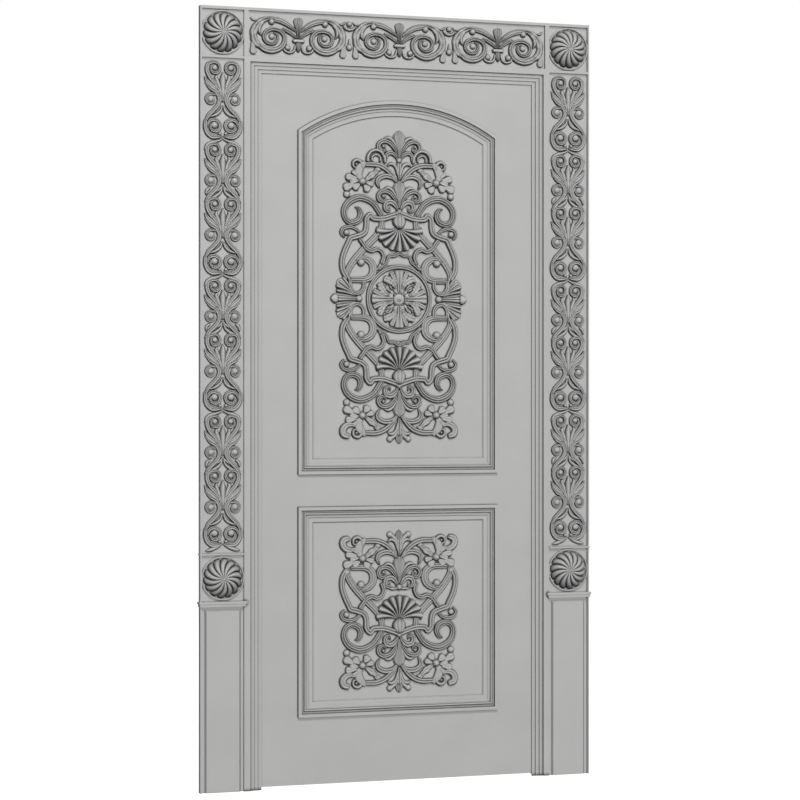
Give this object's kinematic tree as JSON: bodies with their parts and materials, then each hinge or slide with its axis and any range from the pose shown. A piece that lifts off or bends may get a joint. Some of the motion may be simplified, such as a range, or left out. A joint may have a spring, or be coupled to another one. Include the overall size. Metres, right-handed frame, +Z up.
{
  "type": "carved temple door",
  "caption": "Panelled wooden door leaf with carved ornament, hung on butt hinges in a carved frame with rosette blocks, leaf-scroll pilasters and a frieze.",
  "frame": {"origin": "on the floor, at the middle of the door's width and of its whole depth", "axes": "+X to the right of someone facing the carved front, +Y from the front to the back, +Z up"},
  "size_m": [1.188, 0.0844, 2.226],
  "materials": {
    "painted_wood": "matt grey paint",
    "carved_wood": "matt grey paint on carving",
    "hinge_steel": "satin"
  },
  "bodies": {
    "frame": {"hinge_jamb": "painted_wood", "lock_jamb": "painted_wood", "head_jamb": "painted_wood", "left_architrave": "painted_wood", "right_architrave": "painted_wood", "head_architrave": "painted_wood", "left_pilaster": "painted_wood", "right_pilaster": "painted_wood", "left_pilaster_carving": "carved_wood", "right_pilaster_carving": "carved_wood", "frieze_board": "painted_wood", "frieze_carving": "carved_wood", "left_corner_block": "painted_wood", "right_corner_block": "painted_wood", "left_corner_rosette": "carved_wood", "right_corner_rosette": "carved_wood", "left_base_block": "painted_wood", "right_base_block": "painted_wood", "left_base_rosette": "carved_wood", "right_base_rosette": "carved_wood", "left_plinth": "painted_wood", "right_plinth": "painted_wood", "left_plinth_cap": "painted_wood", "right_plinth_cap": "painted_wood", "left_neck_fillet": "painted_wood", "right_neck_fillet": "painted_wood", "top_hinge_frame_plate": "hinge_steel", "middle_hinge_frame_plate": "hinge_steel", "bottom_hinge_frame_plate": "hinge_steel", "top_hinge_pin": "hinge_steel", "middle_hinge_pin": "hinge_steel", "bottom_hinge_pin": "hinge_steel", "frame_hinge_screws": "hinge_steel"},
    "leaf": {"hinge_stile": "painted_wood", "lock_stile": "painted_wood", "top_rail": "painted_wood", "lock_rail": "painted_wood", "bottom_rail": "painted_wood", "upper_panel": "painted_wood", "lower_panel": "painted_wood", "upper_moulding_left": "painted_wood", "upper_moulding_right": "painted_wood", "upper_moulding_arch": "painted_wood", "upper_moulding_bottom": "painted_wood", "lower_moulding_left": "painted_wood", "lower_moulding_right": "painted_wood", "lower_moulding_top": "painted_wood", "lower_moulding_bottom": "painted_wood", "upper_carving": "carved_wood", "lower_carving": "carved_wood", "top_hinge_leaf_plate": "hinge_steel", "middle_hinge_leaf_plate": "hinge_steel", "bottom_hinge_leaf_plate": "hinge_steel", "leaf_hinge_screws": "hinge_steel"}
  },
  "joints": [
    {"name": "leaf_swing", "type": "hinge", "parent": "frame", "child": "leaf", "pos_m": [-0.4215, 0.03625, 1.028], "axis": [0, 0, 1], "range_deg": [0, 105]}
  ]
}
